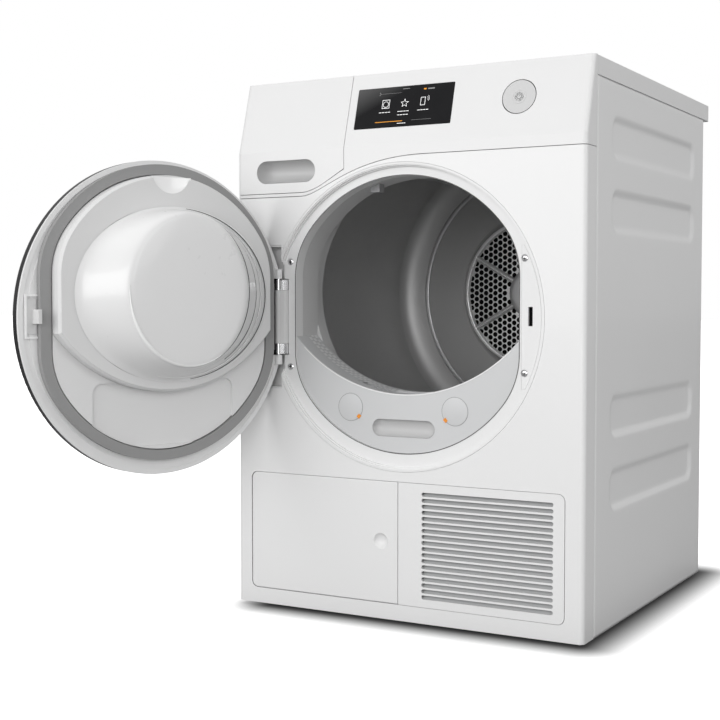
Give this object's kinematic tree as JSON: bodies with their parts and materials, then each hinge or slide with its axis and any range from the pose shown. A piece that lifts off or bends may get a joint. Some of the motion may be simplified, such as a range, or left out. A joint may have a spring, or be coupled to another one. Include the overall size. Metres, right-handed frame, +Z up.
{
  "type": "clothes dryer",
  "caption": "Free-standing heat-pump tumble dryer with a round side-hinged door, spinning drum, tank drawer, service flap and lift-out lint filter.",
  "frame": {"origin": "middle of the four feet, on the floor", "axes": "+Z up, front with the door faces -Y, +X to the right seen from the front"},
  "size_m": [0.6852, 1.0625, 0.85],
  "materials": {
    "mid_grey_plastic": "satin mid grey moulding",
    "black_rubber": "matt black rubber",
    "white_enamel": "smooth white enamel",
    "galvanised": "zinc-coated sheet",
    "laminate": "white laminate on board",
    "white_plastic": "smooth white moulding",
    "display_black": "polished black glass",
    "board_green": "circuit board",
    "dark_plastic": "fine matt black moulding",
    "lens_clear": "frosted lens",
    "pale_grey_plastic": "satin pale grey moulding",
    "chrome": "bright nickel plating",
    "felt": "pressed felt",
    "black_paint": "black paint",
    "aluminium_fins": "bright aluminium",
    "copper": "drawn copper",
    "black_gloss": "polished black",
    "dark_glass": "polished tinted glass",
    "seal_rubber": "matt grey rubber",
    "clear_bowl": "polished clear bowl",
    "stainless": "brushed stainless steel"
  },
  "bodies": {
    "cabinet": {"base_tray": "mid_grey_plastic", "feet": "black_rubber", "side_panel_left": "white_enamel", "side_panel_right": "white_enamel", "rear_panel": "galvanised", "rear_duct_cover": "galvanised", "worktop": "laminate", "front_panel": "white_enamel", "port_bezel": "white_plastic", "fascia": "white_plastic", "display_glass": "display_black", "circuit_boards": "board_green", "air_grille": "white_plastic", "plinth_filter": "dark_plastic", "exchanger_cover": "mid_grey_plastic", "tank_housing": "mid_grey_plastic", "front_shield": "mid_grey_plastic", "drum_light": "lens_clear", "filter_housing": "pale_grey_plastic", "lock_plate": "pale_grey_plastic", "lock_module": "dark_plastic", "hinge_bracket": "chrome", "hinge_cover": "mid_grey_plastic", "ring_screws": "chrome", "rear_bearing": "galvanised", "drum_felts": "felt", "drum_belt": "black_rubber", "motor_stator": "black_paint", "fan_housing": "dark_plastic", "compressor": "black_paint", "heat_exchangers": "aluminium_fins", "refrigerant_pipes": "copper", "condensate_pump": "dark_plastic", "drain_spigot": "dark_plastic", "mains_gland": "dark_plastic", "flap_hinge": "white_plastic"},
    "door": {"door_shell": "black_gloss", "door_glass": "dark_glass", "door_frame": "white_plastic", "hinge_pins": "chrome", "door_seal": "seal_rubber", "door_inner_panel": "pale_grey_plastic", "door_lower_panel": "pale_grey_plastic", "door_bowl": "clear_bowl", "door_latch": "pale_grey_plastic"},
    "drum": {"drum_shell": "stainless", "drum_lifters": "pale_grey_plastic", "drum_rear": "stainless", "drum_shaft": "galvanised"},
    "rotor": {"motor_rotor": "galvanised", "fan_wheel": "dark_plastic"},
    "idler_arm": {"tension_arm": "galvanised"},
    "idler": {"tension_pulley": "dark_plastic"},
    "roller_l": {"roller_left": "black_rubber"},
    "roller_r": {"roller_right": "black_rubber"},
    "tank": {"water_tank": "pale_grey_plastic", "tank_front": "white_plastic"},
    "flap": {"service_flap": "white_plastic"},
    "button": {"power_button": "pale_grey_plastic"},
    "filter": {"lint_filter": "pale_grey_plastic"}
  },
  "joints": [
    {"name": "door_swing", "type": "hinge", "parent": "cabinet", "child": "door", "pos_m": [-0.2201, -0.3158, 0.472], "axis": [0, 0, -1], "range_deg": [-109, 0]},
    {"name": "drum_spin", "type": "hinge", "parent": "cabinet", "child": "drum", "pos_m": [0, 0, 0.512], "axis": [0, 1, 0], "continuous": true},
    {"name": "motor_spin", "type": "hinge", "parent": "cabinet", "child": "rotor", "pos_m": [0.12, 0, 0.135], "axis": [0, 1, 0], "continuous": true},
    {"name": "idler_arm_swing", "type": "hinge", "parent": "cabinet", "child": "idler_arm", "pos_m": [0.105, -0.025, 0.205], "axis": [0, 1, 0], "range_deg": [0, 8], "stiffness_Nm_per_rad": 4, "springref_deg": -28.65},
    {"name": "idler_spin", "type": "hinge", "parent": "idler_arm", "child": "idler", "pos_m": [0.062, -0.04, 0.168], "axis": [0, 1, 0], "continuous": true},
    {"name": "roller_left_spin", "type": "hinge", "parent": "cabinet", "child": "roller_l", "pos_m": [-0.15365, -0.208, 0.24587], "axis": [0, 1, 0], "continuous": true},
    {"name": "roller_right_spin", "type": "hinge", "parent": "cabinet", "child": "roller_r", "pos_m": [0.15365, -0.208, 0.24587], "axis": [0, 1, 0], "continuous": true},
    {"name": "tank_slide", "type": "slide", "parent": "cabinet", "child": "tank", "axis": [0, -1, 0], "range_m": [0, 0.06]},
    {"name": "flap_swing", "type": "hinge", "parent": "cabinet", "child": "flap", "pos_m": [-0.257, -0.314, 0.125], "axis": [0, 0, -1], "range_deg": [0, 90]},
    {"name": "power_press", "type": "slide", "parent": "cabinet", "child": "button", "axis": [0, 0.9628, -0.2703], "range_m": [0, 0.0018], "stiffness_N_per_m": 900, "springref_m": -0.002},
    {"name": "lint_filter_slide", "type": "slide", "parent": "cabinet", "child": "filter", "axis": [0, 0, 1], "range_m": [0, 0.11]}
  ],
  "couplings": [
    {"joint": "motor_spin", "follows": "drum_spin", "ratio": 31.667},
    {"joint": "roller_left_spin", "follows": "drum_spin", "ratio": -12.954},
    {"joint": "roller_right_spin", "follows": "drum_spin", "ratio": -12.954}
  ]
}
